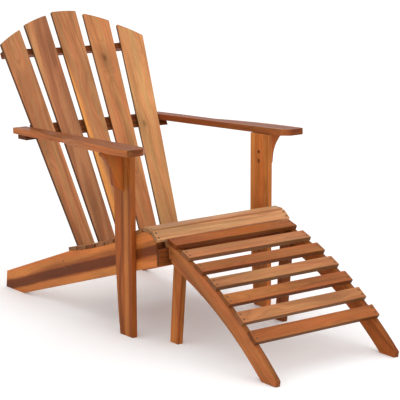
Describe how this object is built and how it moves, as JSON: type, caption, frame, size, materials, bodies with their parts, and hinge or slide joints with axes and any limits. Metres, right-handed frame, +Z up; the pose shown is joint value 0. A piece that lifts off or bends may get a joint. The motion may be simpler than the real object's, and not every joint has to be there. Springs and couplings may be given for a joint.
{
  "type": "adirondack chair with footrest",
  "caption": "Slatted wooden garden lounge chair with a fanned, reclined back, wide arms on curved brackets and a separate curved footrest.",
  "frame": {"origin": "middle of the footprint of the chair and footrest, on the floor", "axes": "+Z up, the sitter faces -Y, +X towards the sitter's left; the footrest stands in front of the chair at -Y"},
  "size_m": [0.7, 1.4125, 0.9287],
  "materials": {
    "acacia": "oiled acacia, satin, warm orange brown with darker heartwood streaks",
    "screw": "bronzed zinc-plated steel, dull",
    "dowel": "plain beech, unfinished"
  },
  "bodies": {
    "chair": {"side_rail_right": "acacia", "side_rail_left": "acacia", "front_leg_right": "acacia", "front_leg_left": "acacia", "armrest_right": "acacia", "armrest_left": "acacia", "arm_bracket_right": "acacia", "arm_bracket_left": "acacia", "seat_slat_1": "acacia", "seat_slat_2": "acacia", "seat_slat_3": "acacia", "seat_slat_4": "acacia", "seat_slat_5": "acacia", "seat_slat_6": "acacia", "seat_slat_7": "acacia", "seat_slat_8": "acacia", "seat_slat_9": "acacia", "seat_slat_10": "acacia", "front_apron": "acacia", "back_slat_1": "acacia", "back_slat_2": "acacia", "back_slat_3": "acacia", "back_slat_4": "acacia", "back_slat_5": "acacia", "upper_back_rail": "acacia", "arm_rail": "acacia", "lower_back_rail": "acacia", "seat_screws": "screw", "bracket_screws": "screw", "leg_screws": "screw", "lower_rail_screws": "screw", "arm_screws": "screw", "back_screws": "screw", "arm_dowels": "dowel"},
    "footrest": {"footrest_rail_right": "acacia", "footrest_rail_left": "acacia", "footrest_leg_right": "acacia", "footrest_leg_left": "acacia", "footrest_slat_1": "acacia", "footrest_slat_2": "acacia", "footrest_slat_3": "acacia", "footrest_slat_4": "acacia", "footrest_slat_5": "acacia", "footrest_slat_6": "acacia", "footrest_slat_7": "acacia", "footrest_slat_screws": "screw", "footrest_leg_screws": "screw"}
  },
  "joints": [
    {"name": "footrest_slide", "type": "slide", "parent": "chair", "child": "footrest", "axis": [0, -1, 0], "range_m": [0, 0.4]}
  ]
}
